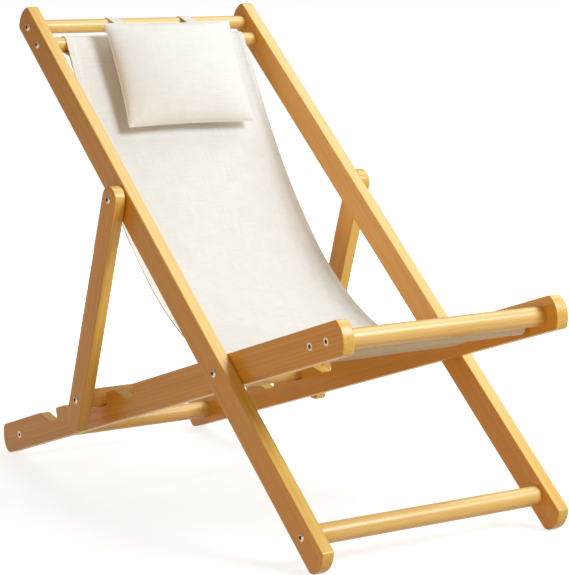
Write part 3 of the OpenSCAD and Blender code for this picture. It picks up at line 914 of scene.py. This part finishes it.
class RECLINER_OT_sling(bpy.types.Operator):
    """Hang the canvas sling between its two dowels, with its hems, sleeves and stitching"""
    bl_idname = "recliner.sling"
    bl_label = "Sling"

    def execute(self, context):
        line, first, last, at, whole = sling_line()
        half = reach("sling").x
        hem = sizes().hem_width
        places = spread_width(half, hem, step=0.010)
        share = sizes().canvas / sizes().hem
        weights = [1.0 if abs(x) > half - hem else share for x in places]
        runs = runs_along(line)
        top, bottom = runs[first], runs[last - 1]
        # Flat cloth beside each sleeve, the run in which the folds then grow, and their heights
        flat, grow = 0.02, 0.05
        gather_high, gather_run, wave_high = 0.0011, 0.09, 0.0022

        def lift(x, run):
            """Gathers, some 30 mm wide, that run out of the sleeves, and waves of some 140 mm."""
            near = min(run - top, bottom - run)
            if near < flat:
                return 0.0
            start = min(1.0, (near - flat) / grow)
            gather = (gather_high * math.exp(-near / gather_run)
                      * noise.noise(Vector((x * 30, run * 2.5, 3.7))))
            wave = wave_high * noise.noise(Vector((x * 7, run * 4, 9.1)))
            return start * (gather + wave)

        cloth, flat_length = cloth_band("sling_canvas", line, places, sizes().hem, weights, lift)
        cloth.data.materials.append(woven_cotton(
            "natural_cotton_canvas", colours().canvas, colours().canvas_shade, CANVAS_WEAVE,
            sheen=0.15))
        settle(cloth, "sling_canvas")
        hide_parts("sling", "sling_top_sleeve", "sling_front_sleeve")
        sewing = stitches("sling_stitches", self.seams(at, whole, top, half, lift))
        sewing.data.materials.append(spun_thread("polyester_thread", colours().thread))
        settle(sewing, "sling_stitches")
        start, _ = at(BLEND_RUN)
        end, _ = at(whole - BLEND_RUN)
        for piece in (cloth, sewing):
            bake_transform(piece)
        return {"FINISHED"}

    def seams(self, at, whole, top, half, lift):
        """Stitches on both faces, a row down each hem and two across each sleeve's seam."""
        pitch = sizes().stitch_pitch
        hem_x = half - sizes().hem_width + HEM_ROW
        across = Vector((1, 0, 0))
        spots = []

        def spot(x, run, face, depth, along=None):
            point, ahead = at(run)
            out = outward(ahead)
            place = Vector((x, point.y, point.z)) + out * (lift(x, top + run) + face * depth)
            spots.append((place, along or ahead, out * face))

        for k in range(int(whole / pitch) - 1):
            run = (k + 1) * pitch
            for x in (-hem_x, hem_x):
                for face in (1, -1):
                    spot(x, run, face, sizes().hem / 2)
        behind = sizes().hem + CLOTH_GAP + sizes().canvas / 2
        inner = half - sizes().hem_width - HEM_CLEAR
        for k in range(int(2 * inner / pitch) + 1):
            x = -inner + k * pitch
            for away in SLEEVE_ROWS:
                for run in (sizes().sleeve_seam + away, whole - sizes().sleeve_seam + away):
                    spot(x, run, 1, sizes().canvas / 2, across)
                    spot(x, run, -1, behind, across)
        return spots


class RECLINER_OT_pillow(bpy.types.Operator):
    """Sew, fill and hang the head pillow"""
    bl_idname = "recliner.pillow"
    bl_label = "Head pillow"

    def execute(self, context):
        pillow = self.sew()
        self.fill(pillow)
        self.hang(pillow)
        rim = [pillow.data.vertices[i].co.copy() for i in self.rim]
        cord = welt("pillow_welt", rim, sizes().welt / 2)
        cover = woven_cotton("bleached_cotton_cover", colours().pillow, colours().pillow_shade,
                             COVER_WEAVE, sheen=0.2)
        finish_with(pillow, "pillow_cover", cover, "head_pillow")
        finish_with(cord, "pillow_welt", cover, "head_pillow")
        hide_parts("head_pillow")
        return {"FINISHED"}

    def sew(self):
        """Two cut panels with one rim, laid flat, with a little air between them."""
        wide, high = sizes().pillow_width, sizes().pillow_height
        columns, rows = 64, 52
        # Height of the air, the squareness and fullness of its crown, and the rear panel's chart
        air, square, full, rear_chart = 0.012, 2.4, 0.6, 0.5
        verts, faces, charts = [], [], []
        index = {}

        def corner(i, j, side):
            """Key of a corner: the two panels share those on the rim."""
            return i, j, 0 if i in (0, columns) or j in (0, rows) else side

        for side in (1, -1):
            for j in range(rows + 1):
                for i in range(columns + 1):
                    key = corner(i, j, side)
                    if key not in index:
                        u, v = 2 * i / columns - 1, 2 * j / rows - 1
                        crown = ((1 - abs(u) ** square) * (1 - abs(v) ** square)) ** full
                        index[key] = len(verts)
                        verts.append((wide / 2 * u, high / 2 * v, side * air * crown))
            for j in range(rows):
                for i in range(columns):
                    ring = [(i, j), (i + 1, j), (i + 1, j + 1), (i, j + 1)]
                    if side < 0:
                        ring.reverse()
                    faces.append([index[corner(a, b, side)] for a, b in ring])
                    away = rear_chart if side < 0 else 0
                    charts.append([(wide * a / columns, high * b / rows + away) for a, b in ring])
        around = [(i, 0) for i in range(columns)] + [(columns, j) for j in range(rows)]
        around += [(columns - i, rows) for i in range(columns)]
        around += [(0, rows - j) for j in range(rows)]
        self.rim = [index[(i, j, 0)] for i, j in around]
        mesh = new_mesh("pillow_cover", verts, faces)
        chart = mesh.uv_layers.new(name="Cloth")
        for polygon, corners in zip(mesh.polygons, charts):
            for loop, uv in zip(polygon.loop_indices, corners):
                chart.data[loop].uv = uv
        return link("pillow_cover", mesh)

    def fill(self, pillow):
        """Blow the cover up as cloth: the filling pushes it out, and its seams draw in."""
        scene = bpy.context.scene
        cloth = pillow.modifiers.new("Filling", "CLOTH")
        settings = cloth.settings
        settings.quality = 6
        settings.mass = 0.25
        settings.tension_stiffness = settings.compression_stiffness = 60
        settings.shear_stiffness = 30
        settings.bending_stiffness = 3.0
        settings.use_pressure = True
        settings.uniform_pressure_force = 2.0
        settings.effector_weights.gravity = 0
        corners = pillow.vertex_groups.new(name="Corners")
        near = 0.001
        wide, high = sizes().pillow_width / 2 - near, sizes().pillow_height / 2 - near
        held = [v.index for v in pillow.data.vertices if abs(v.co.x) > wide and abs(v.co.y) > high]
        corners.add(held, 1.0, "REPLACE")
        settings.vertex_group_mass = "Corners"
        cloth.collision_settings.use_collision = False
        cloth.point_cache.frame_start, cloth.point_cache.frame_end = 1, FILL_FRAMES
        for number in range(1, FILL_FRAMES + 1):
            scene.frame_set(number)
        choose(pillow)
        bpy.ops.object.modifier_apply(modifier="Filling")
        pillow.vertex_groups.clear()
        scene.frame_set(1)

    def hang(self, pillow):
        """Trim the filled pillow to its own space and hang it from the top dowel."""
        mesh = pillow.data
        xs, ys, zs = zip(*(v.co for v in mesh.vertices))
        wide, start, high = max(xs) - min(xs), min(ys), max(ys) - min(ys)
        front, rear = max(zs), -min(zs)
        low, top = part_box("head_pillow")
        middle_x = (low[0] + top[0]) / 2
        hook, down, out = pillow_axes()
        # How far the seams draw in between the corners, as shares of the pillow's size
        sides_in, ends_in = 0.026, 0.022
        for vertex in mesh.vertices:
            x = vertex.co.x * sizes().pillow_width / wide
            run = (vertex.co.y - start) * sizes().pillow_height / high
            u, v = 2 * x / sizes().pillow_width, 2 * run / sizes().pillow_height - 1
            x *= 1 - sides_in * (1 - v * v)
            run = sizes().pillow_height / 2 * (1 + v * (1 - ends_in * (1 - u * u)))
            z = vertex.co.z
            push = z * sizes().pillow_front / front if z > 0 else z * sizes().pillow_back / rear
            vertex.co = Vector((middle_x + x, hook.y, hook.z)) + run * down + push * out
        mesh.update()
        face_outwards(pillow)
        apply_modifier(pillow, "SUBSURF", levels=1, render_levels=1)
        smooth(pillow, degrees=80)


class RECLINER_OT_straps(bpy.types.Operator):
    """Make the two cotton straps that hang the pillow from the top dowel"""
    bl_idname = "recliner.straps"
    bl_label = "Pillow straps"

    def execute(self, context):
        tape = woven_cotton("bleached_cotton_tape", colours().pillow, colours().tape_shade,
                            COVER_WEAVE, sheen=0.1)
        bar = middle("top_dowel")
        bar.x = 0
        radius = reach("top_dowel").z + REST_GAP + sizes().strap / 2
        hook, down, out = pillow_axes()
        end = hook + sizes().strap_drop * down - STRAP_BEHIND * out
        aim = bearing(bar, end)
        hold = math.acos(radius / (end - bar).length)
        ring = arc_points(bar, radius, aim + hold, aim + 2 * math.pi - hold, steps=34)
        side = -outward(heading(aim)) * (sizes().strap / 2 + CLOTH_GAP)
        upper = [ring[0].lerp(end + side, s) for s in (0.8, 0.6, 0.4, 0.2)]
        lower = [ring[-1].lerp(end - side, s) for s in (0.2, 0.4, 0.6, 0.8)]
        line = [end + side] + upper + ring + lower + [end - side]
        for node in ("pillow_strap_left", "pillow_strap_right"):
            low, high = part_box(node)
            places = spread_width((high[0] - low[0]) / 2, hem=0, step=0.004)
            band, _ = cloth_band(node + "_tape", line, places, sizes().strap)
            band.location.x = (low[0] + high[0]) / 2
            finish_with(band, node + "_tape", tape, "head_pillow")
            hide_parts(node)
        return {"FINISHED"}


class RECLINER_PT_panel(bpy.types.Panel):
    """Sizes, colours and pieces of the recliner"""
    bl_idname = "RECLINER_PT_panel"
    bl_label = "Folding Recliner"
    bl_space_type = "VIEW_3D"
    bl_region_type = "UI"
    bl_category = "Recliner"

    def draw(self, context):
        layout = self.layout
        for operator in OPERATORS:
            layout.operator(operator.bl_idname)
        for group in (context.scene.recliner_sizes, context.scene.recliner_colours):
            box = layout.box()
            for name in group.__annotations__:
                box.prop(group, name)


OPERATORS = (RECLINER_OT_stage, RECLINER_OT_rails, RECLINER_OT_dowels, RECLINER_OT_hardware,
             RECLINER_OT_sling, RECLINER_OT_pillow, RECLINER_OT_straps)
CLASSES = (ReclinerSizes, ReclinerColours, *OPERATORS, RECLINER_PT_panel)


def register():
    for item in CLASSES:
        bpy.utils.register_class(item)
    bpy.types.Scene.recliner_sizes = bpy.props.PointerProperty(type=ReclinerSizes)
    bpy.types.Scene.recliner_colours = bpy.props.PointerProperty(type=ReclinerColours)


def unregister():
    del bpy.types.Scene.recliner_colours
    del bpy.types.Scene.recliner_sizes
    for item in reversed(CLASSES):
        bpy.utils.unregister_class(item)


def main():
    register()
    bpy.ops.recliner.stage()
    bpy.ops.recliner.rails()
    bpy.ops.recliner.dowels()
    bpy.ops.recliner.hardware()
    bpy.ops.recliner.sling()
    bpy.ops.recliner.pillow()
    bpy.ops.recliner.straps()


if __name__ == "__main__":
    main()
